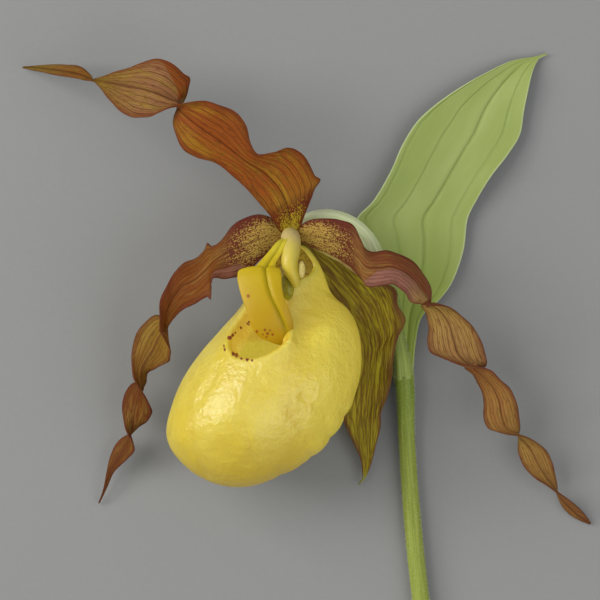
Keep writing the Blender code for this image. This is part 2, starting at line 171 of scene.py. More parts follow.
BRACT_EDGES = [
    (19.2, -17.0, 1.2, 22.8, -17.0, 1.2),
    (18.6, -14.7, 1.4, 23.0, -14.0, 1.4),
    (18.8, -8.0, 1.6, 23.4, -9.0, 1.6),
    (18.4, 0.0, 1.6, 25.0, -3.0, 1.6),
    (17.0, 5.0, 1.8, 28.4, 0.2, 1.7),
    (14.6, 10.0, 2.2, 31.0, 4.0, 2.0),
    (12.6, 13.6, 2.6, 33.2, 10.4, 2.4),
    (11.6, 16.6, 3.0, 34.0, 16.4, 2.8),
    (14.6, 19.8, 3.2, 36.0, 20.6, 3.0),
    (18.2, 25.8, 3.4, 38.8, 25.2, 3.2),
    (20.8, 31.6, 3.4, 42.2, 29.6, 3.2),
    (23.6, 36.0, 3.3, 44.6, 33.6, 3.0),
    (27.0, 39.2, 3.0, 45.4, 38.4, 2.7),
    (31.8, 42.6, 2.6, 46.2, 42.4, 2.3),
    (37.4, 45.8, 2.0, 47.0, 45.8, 1.9),
    (43.4, 48.6, 1.4, 48.0, 48.2, 1.4),
    (47.6, 49.4, 1.0, 48.8, 49.2, 1.0),
    (50.1, 50.0, 0.7, 50.2, 49.8, 0.7),
]
STAMINODE_EDGES = [
    (-1.2, 12.6, 23.4, -3.0, 12.3, 23.2),
    (-2.4, 11.6, 26.0, -4.8, 11.0, 25.4),
    (-3.6, 9.2, 26.8, -6.6, 9.0, 26.4),
    (-4.8, 7.2, 27.6, -8.2, 7.2, 27.4),
    (-4.9, 6.3, 28.0, -9.2, 6.2, 28.0),
    (-3.9, 5.9, 28.6, -12.0, 5.8, 28.2),
    (-3.7, 5.0, 29.4, -12.3, 4.8, 28.6),
    (-3.6, 3.0, 30.0, -12.1, 3.0, 29.2),
    (-3.2, 0.6, 30.4, -11.4, 0.4, 29.8),
    (-2.2, -2.0, 30.2, -10.3, -2.6, 30.2),
    (-1.4, -4.6, 29.2, -9.4, -5.4, 30.0),
    (-1.4, -6.6, 28.0, -8.0, -7.2, 29.2),
    (-1.7, -7.8, 27.2, -5.4, -8.4, 28.4),
    (-2.2, -8.6, 26.8, -3.2, -8.9, 27.2),
]

# Stalks: x, y, height and radius.
STEM_STATIONS = [
    (30.6, -100.0, 1.75, 1.75),
    (27.4, -80.0, 1.75, 1.75),
    (24.4, -60.0, 1.75, 1.75),
    (23.0, -47.0, 1.8, 1.75),
    (22.1, -36.0, 2.0, 1.7),
    (21.5, -26.0, 2.7, 1.7),
    (21.3, -19.0, 3.7, 1.9),
    (21.0, -15.4, 4.2, 2.0),
]
OVARY_STATIONS = [
    (21.0, -15.7, 4.15, 2.06),
    (20.6, -12.5, 4.4, 1.8),
    (19.9, -9.0, 4.5, 1.6),
    (18.2, 0.0, 5.6, 1.8),
    (15.4, 7.8, 8.0, 2.0),
    (12.8, 12.4, 10.8, 2.0),
    (9.2, 15.2, 13.0, 2.0),
    (5.0, 16.2, 14.6, 1.9),
    (1.6, 15.4, 15.8, 1.9),
    (-1.4, 13.4, 16.8, 2.0),
    (-1.8, 13.0, 18.2, 2.0),
    (-1.9, 12.9, 18.9, 1.7),
]
COLUMN_STATIONS = [
    (-1.9, 12.9, 19.6, 1.7),
    (-1.9, 12.3, 22.2, 1.9),
    (-1.8, 10.8, 24.6, 1.95),
    (-1.9, 9.2, 26.0, 1.8),
    (-2.1, 7.6, 26.6, 1.65),
    (-1.9, 6.0, 26.6, 1.5),
    (-1.2, 4.4, 26.4, 1.15),
    (-0.7, 2.9, 25.9, 0.8),
]

# Beads: centre x, y, height, then half sizes along x, y and height.
ANTHER_RIGHT = (0.3, 6.0, 26.2, 0.75, 1.7, 0.8)
ANTHER_LEFT = (-3.4, 5.8, 25.0, 0.6, 1.2, 0.8)
STIGMA = (-2.4, 2.9, 23.9, 1.3, 3.0, 1.6)

POUCH_MIDDLE = (-7.6, -20.0, 17.0)
POUCH_HALF_DEPTH = 17.0
POUCH_WALL = 0.7
RIM_WALL = 0.3
# Rolled rim: its radius, how much finer it is in the claw, the depth of the flap behind
# it, what the left side adds, the share the claw loses, and the share between two rings.
RIM_ROLL = 1.1
CLAW_ROLL_LOSS = 0.7
FLAP = 1.2
LEFT_FLAP = 1.6
CLAW_FLAP_LOSS = 0.85
FLAP_STEP = 0.33
# Outline of the pouch from above: angle in degrees and radius. OUTLINE_BLUR rounds it.
OUTLINE_BLUR = 12.0
POUCH_OUTLINE = [
    (-172, 18.4), (-159, 20.9), (-145, 20.4), (-131, 19.9), (-109, 18.4),
    (-95, 17.1), (-78, 15.4), (-56, 14.9), (-28, 15.7), (-5, 17.4),
    (16, 20.4), (25, 22.1), (35, 24.0), (45, 26.2), (52, 26.8), (57, 25.6), (61, 25.4), (66, 28.0),
    (73, 31.0), (83, 28.0), (100, 19.3), (125, 16.0), (148, 15.4), (169, 16.5),
]
# The underside rises towards the claw, the narrow part that joins the flower.
CLAW_LIFT = 9.0
CLAW_WAY = math.radians(72.0)
# Rim of the mouth: x, y, height.
POUCH_RIM = [
    (-9.6, -12.2, 32.4), (-5.0, -10.8, 32.4), (-1.9, -8.4, 31.0), (-1.1, -5.4, 28.4),
    (-1.4, -2.0, 25.6), (-1.4, 1.0, 23.8), (0.2, 3.8, 22.5), (2.6, 5.0, 20.2),
    (3.4, 6.6, 18.8), (2.2, 9.2, 18.2), (0.6, 10.8, 17.8), (-2.2, 10.6, 17.6),
    (-6.0, 8.0, 17.8), (-8.8, 3.4, 18.8), (-10.8, -1.0, 20.4), (-13.8, -5.6, 24.0),
    (-14.9, -9.0, 28.0), (-13.4, -11.6, 31.0),
]
# Shares of the way from the rim to the far pole at which the rim's own shape has faded,
# the points stand at even turns and the swellings have their full height. The crowding
# sets the rings closer together near the rim.
RIM_REACH = 0.35
TURN_REACH = 0.3
SWELL_REACH = 0.1
RING_CROWDING = 1.25
POUCH_RINGS = 110
POUCH_SIDES = 380
# Swellings of the pouch: x and y of the middle, height and spread.
POUCH_SWELLS = [
    (9.8, -21.0, 0.35, 1.4), (7.0, -25.0, 0.35, 1.4), (3.8, -29.2, 0.3, 1.6), (-1.4, -33.8, 0.25, 1.6),
    (5.0, -6.5, 1.1, 4.5), (3.5, 0.5, -0.3, 3.0), (-16.0, -24.0, 0.5, 6.0), (0.0, -22.0, -0.4, 4.0),
    (-12.0, -31.0, -0.3, 4.0), (4.0, -14.0, 0.4, 3.5),
]
# Soft creases of the pouch: x and y of both ends, depth and half width.
POUCH_CREASES = [
    (-21.5, -24.0, -21.0, -30.5, 0.3, 0.8), (-21.0, -30.5, -18.8, -35.0, 0.3, 0.8),
    (-11.0, -24.6, -9.4, -30.1, 0.2, 0.8), (-9.4, -30.1, -7.2, -34.0, 0.25, 0.8),
    (0.6, -19.0, 5.2, -22.8, 0.25, 0.8), (5.2, -22.8, 5.5, -26.0, 0.3, 0.7),
    (-2.0, -22.0, 1.6, -28.0, 0.2, 0.8), (-16.0, -13.0, -19.5, -20.0, 0.25, 0.8),
    (8.6, -22.8, 10.4, -24.2, 0.25, 0.6), (5.4, -26.6, 7.0, -28.4, 0.25, 0.6),
    (1.6, -30.2, 3.0, -32.2, 0.2, 0.6), (-4.4, -33.6, -3.6, -36.0, 0.15, 0.6),
]
# Red spots: x, y and radius.
MOUTH_SPOTS = [
    (-10.4, -4.2, 0.35), (-10.3, -4.8, 0.3), (-11.6, -5.6, 0.38), (-12.8, -6.5, 0.2),
    (-13.4, -7.0, 0.34), (-13.9, -7.5, 0.42), (-15.1, -9.1, 0.3), (-15.0, -9.7, 0.36),
    (-14.9, -11.1, 0.24), (-13.9, -12.2, 0.24), (-13.1, -10.6, 0.34), (-12.5, -10.9, 0.38),
    (-11.5, -11.5, 0.24), (-10.4, -11.7, 0.3), (-9.4, -11.9, 0.22),
]
STAMINODE_SPOTS = [
    (-10.2, 0.8, 0.35), (-8.5, -6.2, 0.3), (-6.9, -5.9, 0.28), (-6.4, -6.6, 0.32),
    (-5.9, -6.0, 0.22), (-5.4, -6.8, 0.28), (-7.3, -6.8, 0.2), (-6.6, -7.3, 0.22),
]

# Wavy margins: side (1 left, -1 right, 0 both), from, to, wave length, height, phase.
DORSAL_WAVES = [(0, 8, 66, 5.2, 0.14, 0.0)]
LEFT_PETAL_WAVES = [(0, 6, 62, 4.6, 0.16, 0.5)]
RIGHT_PETAL_WAVES = [(0, 5, 80, 5.0, 0.16, 1.2)]
SYNSEPAL_WAVES = [(1, 4, 44, 7.5, 0.35, 0.0), (-1, 6, 40, 8.0, 0.3, 1.0)]
BRACT_WAVES = [(1, 14, 80, 30.0, 0.35, 0.0), (-1, 20, 76, 22.0, 0.5, 1.4)]
# Sides that are turned over: face (0 back, 1 front), side (1 left, -1 right), then places
# along the blade, each with the share of the half width from which it is turned.
DORSAL_FOLDS = [(0, 1, ((40.0, 0.15), (48.0, 1.0)))]
LEFT_PETAL_FOLDS = [(1, 1, ((5.0, 1.0), (9.0, 0.5), (15.0, 0.6), (18.0, 1.0)))]
RIGHT_PETAL_FOLDS = [
    (1, -1, ((2.0, 0.9), (5.0, 0.74), (10.5, 0.78), (13.5, 1.0))),
    (1, -1, ((14.0, 1.0), (18.0, 0.15), (31.5, -0.15))),
]
# Small teeth of a margin: side (1 left, -1 right), x, y, size, spread.
DORSAL_TEETH = [(-1, 3.2, 23.4, 1.0, 0.8), (1, -22.3, 43.6, 0.8, 1.0)]
LEFT_PETAL_TEETH = [(-1, -18.4, 10.4, 1.1, 0.5), (1, -17.8, 1.2, 1.3, 0.45)]

# Blades: width of the midrib's groove, how much thinner the margins are, and, as shares
# of the half width, how far the midrib may move and how softly a fold begins.
GROOVE_WIDTH = 0.5
MARGIN_THINNING = 0.6
MIDRIB_SHIFT = 0.6
FOLD_BLEND = 0.08

# Domed ends of stalks: height as a share of the radius, and the places of their rings.
DOME_HEIGHT = 0.4
DOME_STEPS = (0.25, 0.5, 0.7, 0.85, 0.95, 0.99)

BEAD_RINGS = 24
BEAD_SIDES = 32

# Margin waves: the lengths over which they start and end, and how they grow sideways.
WAVE_START = 4.0
WAVE_END = 6.0
WAVE_POWER = 2.2

# Hairs: radius, depth of the root, how far they lean, and the lowest height of a tip.
HAIR_RADIUS = 0.022
HAIR_DEPTH = 0.05
HAIR_LEAN = 0.35
LOWEST_TIP = 0.05

FLOOR_HALF_WIDTH_METRES = 6.0


def tone(red, green, blue):
    """Linear colour of an 8-bit screen colour."""
    values = np.array([red, green, blue]) / 255.0
    linear = np.where(values <= 0.04045, values / 12.92, ((values + 0.055) / 1.055) ** 2.4)
    return (*linear.tolist(), 1.0)


# Shapes


def unit(vectors):
    """The same vectors with length one."""
    lengths = np.linalg.norm(vectors, axis=-1, keepdims=True)
    return vectors / np.maximum(lengths, 1e-9)


def rise(values, start, width):
    """Straight step from 0 to 1 that begins at start and takes width."""
    return np.clip((values - start) / width, 0.0, 1.0)


def ease_step(part):
    """Soft step from 0 to 1 while part goes from 0 to 1."""
    part = min(max(part, 0.0), 1.0)
    return part * part * (3.0 - 2.0 * part)


def path_lengths(points):
    """Length along a line of points, from the first one to each."""
    steps = np.linalg.norm(np.diff(points, axis=0), axis=1)
    return np.concatenate(([0.0], np.cumsum(steps)))


def smooth_rows(stations, count, curves=1):
    """Rows at even steps along smooth lines. Each row starts with the x, y, z of each line."""
    rows = np.array(stations, dtype=float)
    points = rows[:, :3 * curves].reshape(len(rows), curves, 3)
    steps = np.linalg.norm(np.diff(points, axis=0), axis=2).mean(axis=1)
    places = np.concatenate(([0.0], np.cumsum(steps)))
    slopes = np.gradient(rows, places, axis=0)
    wanted = np.linspace(0.0, places[-1], count)
    left = np.clip(np.searchsorted(places, wanted, side="right") - 1, 0, len(rows) - 2)
    width = (places[left + 1] - places[left])[:, None]
    part = (wanted - places[left])[:, None] / width
    square = part ** 2
    cube = part ** 3
    return ((2 * cube - 3 * square + 1) * rows[left]
            + (cube - 2 * square + part) * width * slopes[left]
            + (3 * square - 2 * cube) * rows[left + 1]
            + (cube - square) * width * slopes[left + 1])


def surface_normals(grid):
    """Unit normals of a grid of points: along its rows crossed with across them."""
    along = np.gradient(grid, axis=0)
    across = np.gradient(grid, axis=1)
    return unit(np.cross(along, across))


def ring_normals(grid):
    """Unit normals of a grid whose rows close on themselves."""
    wrapped = np.concatenate([grid[:, -1:], grid, grid[:, :1]], axis=1)
    return surface_normals(wrapped)[:, 1:-1]


def make_piece(name, points, faces, node, material, marks=None):
    """Make a smooth mesh piece that stands for a CAD node, with named marks per point."""
    points = np.asarray(points, dtype=float)
    mesh = bpy.data.meshes.new(name)
    mesh.from_pydata(((points + PLACE) * MM).tolist(), [], faces)
    mesh.update()
    mesh.polygons.foreach_set("use_smooth", [True] * len(mesh.polygons))
    for mark, values in (marks or {}).items():
        layer = mesh.attributes.new(mark, "FLOAT", "POINT")
        layer.data.foreach_set("value", np.asarray(values, dtype=np.float32).ravel())
    mesh.materials.append(material)
    piece = bpy.data.objects.new(name, mesh)
    bpy.context.collection.objects.link(piece)
    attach(piece, "root")
    if node:
        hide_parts(node)
    return piece


def ring_faces(first, rings, sides):
    """Quads between rings that close on themselves, facing as ring_normals does."""
    faces = []
    for ring in range(rings - 1):
        for step in range(sides):
            here = first + ring * sides + step
            there = first + ring * sides + (step + 1) % sides
            faces.append((here, here + sides, there + sides, there))
    return faces


def sheet_faces(along, across):
    """Faces of a closed sheet whose back grid comes first and front grid second."""
    front = along * across
    faces = []
    for row in range(along - 1):
        for column in range(across - 1):
            first = row * across + column
            quad = (first, first + 1, first + across + 1, first + across)
            faces.append(quad)
            faces.append(tuple(front + corner for corner in reversed(quad)))
    border = list(range(across))
    border += [row * across + across - 1 for row in range(1, along)]
    border += [(along - 1) * across + column for column in range(across - 2, -1, -1)]
    border += [row * across for row in range(along - 2, 0, -1)]
    for here, there in zip(border, border[1:] + border[:1]):
        faces.append((here, front + here, front + there, there))
    return faces


def near_spots(points, spots):
    """How near each point is to a spot in the view from above, from 0 to 1."""
    near = np.zeros(len(points))
    for x, y, radius in spots:
        gap = np.hypot(points[:, 0] - x, points[:, 1] - y)
        near = np.maximum(near, np.clip(1.5 - gap / radius, 0.0, 1.0))
    return near


# Blades: petals, sepals, the bract and the staminode


def pull_teeth(grid, left, right, share, teeth):
    """Pull the small teeth of the margins outward."""
    way = unit(left - right)
    for side, x, y, size, spread in teeth:
        edge = left if side > 0 else right
        gap = np.hypot(edge[:, 0] - x, edge[:, 1] - y)
        grow = side * size * np.exp(-(gap / spread) ** 2)
        pull = np.clip(share * side, 0.0, 1.0) ** 5
        grid += way[:, None] * (grow[:, None] * pull[None, :])[..., None]


def wave_lift(length, share, waves):
    """Height of the margin waves over each point of a blade."""
    lift = np.zeros((len(length), len(share)))
    for side, start, end, wave, height, phase in waves:
        fade = rise(length, start, WAVE_START) * rise(-length, -end, WAVE_END)
        swing = height * fade * np.sin(2.0 * math.pi * length / wave + phase)
        touched = (share * side >= 0) if side else np.ones(len(share), bool)
        lift += swing[:, None] * (np.abs(share) ** WAVE_POWER * touched)[None, :]
    return lift


def calm_shift(middle, chord, half, spread):
    """How far a calmer midrib lies from the middle of each row, as a share of the half width."""
    reach = 3 * spread
    weights = np.exp(-(np.arange(-reach, reach + 1) / spread) ** 2)
    weights /= weights.sum()
    padded = np.pad(middle, ((reach, reach), (0, 0)), mode="edge")
    lines = [np.convolve(padded[:, axis], weights, mode="valid") for axis in range(3)]
    shift = np.sum((np.stack(lines, axis=1) - middle) * chord, axis=1) / (half ** 2 + 1.0)
    return np.clip(shift, -MIDRIB_SHIFT, MIDRIB_SHIFT)


def front_marks(length, share, folds):
    """For the back and then the front grid, where the front's colours show."""
    plain = np.zeros((len(length), len(share)))
    fronts = np.array([plain, plain + 1.0])
    for face, side, places in folds:
        starts = [start for start, low in places]
        lows = np.interp(length, starts, [low for start, low in places])
        stretch = (length >= starts[0]) & (length <= starts[-1])
        turned = rise(share[None, :] * side, lows[:, None], FOLD_BLEND)
        fronts[face] = np.abs(fronts[face] - turned * stretch[:, None])
    return fronts


def add_blade(name, edges, material, along, across, thick, belly=0.0, waves=(), teeth=(),
              groove=(0.0, 0.0, 0.3), spots=(), calm=0, folds=()):
    """Add a petal, sepal or leaf between its two edges.

    along and across count its points, and thick is its thickness. belly lifts the middle,
    as a share of the half width. groove gives the place of the midrib at the base and at
    the tip, as a share of the half width, and its depth. calm is the number of rows over
    which the midrib is straightened. folds are sides that are turned over.
    """
    rows = smooth_rows(edges, along, 2)
    left = rows[:, :3]
    right = rows[:, 3:6]
    middle = 0.5 * (left + right)
    chord = 0.5 * (left - right)
    half = np.linalg.norm(chord, axis=1)
    share = np.linspace(-1.0, 1.0, across)
    length = path_lengths(middle)
    grid = middle[:, None] + chord[:, None] * share[None, :, None]
    pull_teeth(grid, left, right, share, teeth)
    place = np.linspace(groove[0], groove[1], along)
    if calm:
        place = place + calm_shift(middle, chord, half, calm)
    rib = share[None, :] - place[:, None]
    reach = half[:, None] * rib
    fade = rise(length, 0.0, 6.0) * rise(-length, -length[-1], 8.0)
    lift = belly * half[:, None] * (1.0 - share ** 2)[None, :] + wave_lift(length, share, waves)
    lift -= groove[2] * fade[:, None] * np.exp(-(reach / GROOVE_WIDTH) ** 2)
    grid = grid + surface_normals(grid) * lift[..., None]
    half_thick = 0.5 * thick * (1.0 - MARGIN_THINNING * np.abs(share) ** 6)
    shell = surface_normals(grid) * half_thick[None, :, None]
    points = np.concatenate([(grid - shell).reshape(-1, 3), (grid + shell).reshape(-1, 3)])
    marks = {
        "along": np.tile(np.repeat(length, across), 2),
        "share": np.tile(share, 2 * along),
        "rib": np.tile(rib.ravel(), 2),
        "reach": np.tile(reach.ravel(), 2),
        "front": front_marks(length, share, folds),
        "spots": near_spots(points, spots),
    }
    return make_piece(name + "_look", points, sheet_faces(along, across), name, material, marks)


# Stalks, the column and beads


def tube_loops(stations, along, sides, ribs=0, rib_height=0.0):
    """Rings of points of a round stalk, its middle line and the angles round it."""
    rows = smooth_rows(stations, along)
    middle = rows[:, :3]
    travel = unit(np.gradient(middle, axis=0))
    side = unit(np.cross(travel, np.array([0.0, 0.0, 1.0])))
    above = unit(np.cross(side, travel))
    angles = np.linspace(0.0, 2.0 * math.pi, sides, endpoint=False)
    out = (side[:, None, :] * np.cos(angles)[None, :, None]
           + above[:, None, :] * np.sin(angles)[None, :, None])
    shape = 1.0 + rib_height * np.cos(ribs * angles)
    radii = rows[:, 3][:, None] * shape[None, :]
    return middle[:, None, :] + out * radii[..., None], middle, angles


def domed_end(loop, centre, travel):
    """Rings of a low dome on a tube's last ring, from the outside in."""
    reach = DOME_HEIGHT * np.linalg.norm(loop - centre, axis=1).mean()
    return [centre + (loop - centre) * math.sqrt(1.0 - lean ** 2) + travel * reach * lean
            for lean in DOME_STEPS]


def add_tube(name, stations, along, sides, material, ribs=0, rib_height=0.0, flat_start=False):
    """Add a round node along its stations, with domed ends or a flat cut start."""
    points, middle, angles = tube_loops(stations, along, sides, ribs, rib_height)
    length = path_lengths(middle)
    travel = unit(np.gradient(middle, axis=0))
    start = [] if flat_start else domed_end(points[0], middle[0], -travel[0])
    end = domed_end(points[-1], middle[-1], travel[-1])
    loops = start[::-1] + list(points) + end
    spans = [length[0]] * len(start) + list(length) + [length[-1]] * len(end)
    count = len(loops)
    faces = ring_faces(0, count, sides)
    faces.append(tuple(range(sides)))
    last = (count - 1) * sides
    faces.append(tuple(range(last + sides - 1, last - 1, -1)))
    marks = {"along": np.repeat(spans, sides), "turn": np.tile(angles, count)}
    return make_piece(name + "_look", np.concatenate(loops), faces, name, material, marks)


def add_bead(name, shape, material, groove=0.0):
    """Add a small egg-shaped node, with a groove along its top."""
    centre = np.array(shape[:3])
    half = np.array(shape[3:])
    end = half * np.array([0.0, 1.0, 0.0])
    points = [centre - end]
    for ring in range(1, BEAD_RINGS):
        climb = math.pi * ring / BEAD_RINGS
        for step in range(BEAD_SIDES):
            turn = 2.0 * math.pi * step / BEAD_SIDES
            dent = 1.0 - groove * math.exp(-(math.cos(turn) / 0.3) ** 2) * (math.sin(turn) > 0)
            ball = np.array((math.sin(climb) * math.cos(turn), -math.cos(climb),
                             math.sin(climb) * math.sin(turn) * dent))
            points.append(centre + half * ball)
    points.append(centre + end)
    faces = ring_faces(1, BEAD_RINGS - 1, BEAD_SIDES)
    last = len(points) - 1
    start = last - BEAD_SIDES
    turns = [(step, (step + 1) % BEAD_SIDES) for step in range(BEAD_SIDES)]
    faces += [(0, 1 + step, 1 + after) for step, after in turns]
    faces += [(last, start + after, start + step) for step, after in turns]
    return make_piece(name + "_look", np.array(points), faces, name, material)


# The slipper


def pouch_radius(directions):
    """Distance from the pouch's middle to its outside, for unit directions."""
    angles = [angle for angle, radius in POUCH_OUTLINE]
    radii = [radius for angle, radius in POUCH_OUTLINE]
    turn = np.degrees(np.arctan2(directions[..., 1], directions[..., 0]))
    total = np.zeros(turn.shape)
    weights = 0.0
    for shift in np.linspace(-OUTLINE_BLUR, OUTLINE_BLUR, 13):
        weight = math.cos(shift / OUTLINE_BLUR * 1.4)
        total += weight * np.interp(turn + shift, angles, radii, period=360.0)
        weights += weight
    outline = total / weights
    flat = np.hypot(directions[..., 0], directions[..., 1])
    claw = np.clip(np.cos(np.radians(turn) - CLAW_WAY), 0.0, 1.0) ** 4
    lift = np.where(directions[..., 2] < 0.0, CLAW_LIFT * claw * flat, 0.0)
    depth = POUCH_HALF_DEPTH - lift
    return 1.0 / np.sqrt((flat / outline) ** 2 + (directions[..., 2] / depth) ** 2)


def swell_height(spots):
    """How far the swellings lift each point of the pouch's upper side."""
    height = np.zeros(len(spots))
    for x, y, top, spread in POUCH_SWELLS:
        gap = (spots[:, 0] - x) ** 2 + (spots[:, 1] - y) ** 2
        height += top * np.exp(-gap / spread ** 2)
    return height * rise(spots[:, 2], 14.0, 6.0)


def crease_depth(spots):
    """How deep the creases are at each point of the pouch's upper side."""
    deep = np.zeros(len(spots))
    for x, y, end_x, end_y, depth, width in POUCH_CREASES:
        run = np.array([end_x - x, end_y - y])
        away = spots[:, :2] - np.array([x, y])
        part = np.clip(away @ run / (run @ run), 0.0, 1.0)
        gap = np.linalg.norm(away - part[:, None] * run, axis=1)
        deep = np.maximum(deep, depth * np.exp(-(gap / width) ** 2))
    return deep * rise(spots[:, 2], 10.0, 6.0)


def pouch_rim():
    """Evenly spaced points round the rim of the pouch's mouth."""
    lead = 3
    closed = POUCH_RIM[-lead:] + POUCH_RIM + POUCH_RIM[:lead + 1]
    places = path_lengths(np.array(closed))
    loop = smooth_rows(closed, 60 * len(closed))
    spans = np.linspace(0.0, places[-1], len(loop))
    loop = loop[(spans >= places[lead]) & (spans < places[lead + len(POUCH_RIM)])]
    lengths = path_lengths(loop)
    wanted = np.linspace(0.0, lengths[-1], POUCH_SIDES, endpoint=False)
    return np.stack([np.interp(wanted, lengths, loop[:, axis]) for axis in range(3)], axis=1)


def even_turns(aside, axis):
    """Directions at even turns round an axis, each as near as can be to the given one."""
    start = aside[0]
    quarter = np.cross(axis, start)
    turn = np.unwrap(np.arctan2(aside @ quarter, aside @ start))
    full = math.copysign(2.0 * math.pi, turn[-1] - turn[0])
    even = np.arange(len(turn)) * full / len(turn)
    even += np.mean(turn - even)
    return np.cos(even)[:, None] * start + np.sin(even)[:, None] * quarter


def pouch_body():
    """Outer rings of the pouch from the rim to the pole behind it, the pole and its way."""
    middle = np.array(POUCH_MIDDLE)
    reach = pouch_rim() - middle
    start_way = unit(reach)
    far = -unit(start_way.mean(axis=0))
    stretch = np.linalg.norm(reach, axis=1) / pouch_radius(start_way)
    arc = np.arccos(np.clip(start_way @ far, -1.0, 1.0))
    aside = unit(start_way - (start_way @ far)[:, None] * far)
    even_aside = even_turns(aside, far)
    grid = np.zeros((POUCH_RINGS, POUCH_SIDES, 3))
    for ring in range(POUCH_RINGS):
        part = (ring / POUCH_RINGS) ** RING_CROWDING
        swing = ease_step(part / TURN_REACH)
        lean = ((1.0 - part) * arc)[:, None]
        way = (np.cos(lean) * far
               + np.sin(lean) * unit((1.0 - swing) * aside + swing * even_aside))
        fade = ease_step(1.0 - part / RIM_REACH)
        radius = pouch_radius(way) * (1.0 + (stretch - 1.0) * fade)
        spot = middle + way * radius[:, None]
        radius = radius + swell_height(spot) * min(part / SWELL_REACH, 1.0) - crease_depth(spot)
        grid[ring] = middle + way * radius[:, None]
    pole = middle + far * pouch_radius(far[None, :])[0]
    return grid, pole, far


def rolled_rim(body):
    """Rows of the rolled rim, from the end of its flap inside the mouth to the body."""
    edge = body[0]
    out = ring_normals(body)[0]
    onward = unit(edge - body[2])
    claw = rise(edge[:, 1], -2.0, 6.0)
    leftward = rise(-edge[:, 0], 8.0, 5.0)
    roll = (RIM_ROLL - CLAW_ROLL_LOSS * claw)[:, None]
    flap = ((FLAP + LEFT_FLAP * leftward) * (1.0 - CLAW_FLAP_LOSS * claw))[:, None]
    rows = []
    for angle in np.radians(np.linspace(100.0, 10.0, 10)):
        rows.append(edge + roll * (math.sin(angle) * onward - (1.0 - math.cos(angle)) * out))
    inward = unit(rows[0] - rows[1]) * flap * FLAP_STEP
    for _ in range(3):
        rows.insert(0, rows[0] + inward)
    return np.array(rows)


def pouch_faces(count):
    """Faces of the outer and inner skin, their caps at the pole and the rim's edge."""
    size = count * POUCH_SIDES
    last = size - POUCH_SIDES
    faces = ring_faces(0, count, POUCH_SIDES)
    faces += [tuple(reversed(face)) for face in ring_faces(size, count, POUCH_SIDES)]
    for step in range(POUCH_SIDES):
        after = (step + 1) % POUCH_SIDES
        faces.append((last + after, last + step, 2 * size))
        faces.append((size + last + step, size + last + after, 2 * size + 1))
        faces.append((step, after, size + after, size + step))
    return faces


def pouch_marks(points, count, rim_rows):
    """Where the pouch is spotted, how far inside each point is, and the pouch's regions."""
    size = count * POUCH_SIDES
    rim = rim_rows * POUCH_SIDES
    spotted = rim + 3 * POUCH_SIDES
    spots = np.zeros(len(points))
    spots[:spotted] = near_spots(points[:spotted], MOUTH_SPOTS)
    inside = np.zeros(len(points))
    inside[:rim] = np.repeat(np.linspace(0.9, 0.0, rim_rows), POUCH_SIDES)
    inside[size:2 * size] = 1.0
    inside[size:size + rim] = 0.9
    inside[-1] = 1.0
    return {
        "spots": spots,
        "inside": inside,
        "claw": rise(points[:, 1], 1.0, 4.0),
        # Masks for painted shade on the back wall and the far end, and for painted light on the right
        # side.
        "back_wall_shade": rise(points[:, 1], -8.8, 1.2),
        "toe_shade": rise(-points[:, 1], 24.0, 10.0),
        "flank_light": rise(points[:, 0], -2.0, 7.0),
    }


def add_pouch(name, material):
    """Add the slipper, a thin shell with a rolled rim."""
    body, pole, far = pouch_body()
    rim = rolled_rim(body)
    outer = np.concatenate([rim, body])
    count = len(outer)
    wall = np.full(count, POUCH_WALL)
    wall[:4] = np.linspace(RIM_WALL, POUCH_WALL, 4)
    inner = outer - ring_normals(outer) * wall[:, None, None]
    points = np.concatenate([outer.reshape(-1, 3), inner.reshape(-1, 3),
                             pole[None], (pole - far * POUCH_WALL)[None]])
    marks = pouch_marks(points, count, len(rim))
    return make_piece(name + "_look", points, pouch_faces(count), name, material, marks)


# Hairs


def add_hairs(name, roots, ways, lengths, material):
    """Add many thin three-sided hairs on a node as one piece."""
    points = []
    faces = []
    for root, way, length in zip(roots, ways, lengths):
        guide = np.array([0.0, 0.0, 1.0]) if abs(way[2]) < 0.9 else np.array([1.0, 0.0, 0.0])
        right = np.cross(way, guide)
        right /= np.linalg.norm(right)
        above = np.cross(right, way)
        first = len(points)
        for corner in range(3):
            angle = 2.0 * math.pi * corner / 3.0
            points.append(root + HAIR_RADIUS * (right * math.cos(angle) + above * math.sin(angle)))
            faces.append((first + (corner + 1) % 3, first + corner, first + 3))
        points.append(root + way * length)
    piece = make_piece(name, np.array(points), faces, None, material)


def stalk_hairs(node, stations, count, length, seed, material):
    """Add hairs all round a stalk, but none that would go through the table."""
    rows = 240
    sides = 48
    points, middle = tube_loops(stations, rows, sides)[:2]
    out = unit(points - middle[:, None])
    chance = np.random.default_rng(seed)
    row = chance.integers(1, rows - 1, count)
    side = chance.integers(0, sides, count)
    roots = points[row, side] - out[row, side] * HAIR_DEPTH
    ways = unit(out[row, side] + chance.normal(0.0, HAIR_LEAN, (count, 3)))
    lengths = length * chance.uniform(0.6, 1.3, count)
    keep = roots[:, 2] + ways[:, 2] * lengths > LOWEST_TIP
    add_hairs(node + "_hairs", roots[keep], ways[keep], lengths[keep], material)


# Materials


def feed(socket, value):
    """Link a socket, or set it to a number, a vector or an 8-bit screen colour."""
    if isinstance(value, bpy.types.NodeSocket):
        socket.id_data.links.new(value, socket)
    elif socket.type == "RGBA":
        socket.default_value = tone(*value)
    else:
        socket.default_value = value


def add_node(tree, kind, output, inputs, **settings):
    """Add a node with its settings, feed its inputs, and give one of its outputs."""
    node = tree.nodes.new("ShaderNode" + kind)
    for name, value in settings.items():
        setattr(node, name, value)
    for key, value in inputs.items():
        feed(node.inputs[key], value)
    return node.outputs[output]


def calc(operation, *values):
    """One arithmetic step. At least one of the values is a socket."""
    tree = [value.id_data for value in values if isinstance(value, bpy.types.NodeSocket)][0]
    return add_node(tree, "Math", 0, dict(enumerate(values)), operation=operation)


def times(first, second):
    """Product of two values."""
    return calc("MULTIPLY", first, second)


def plus(first, second):
    """Sum of two values."""
    return calc("ADD", first, second)


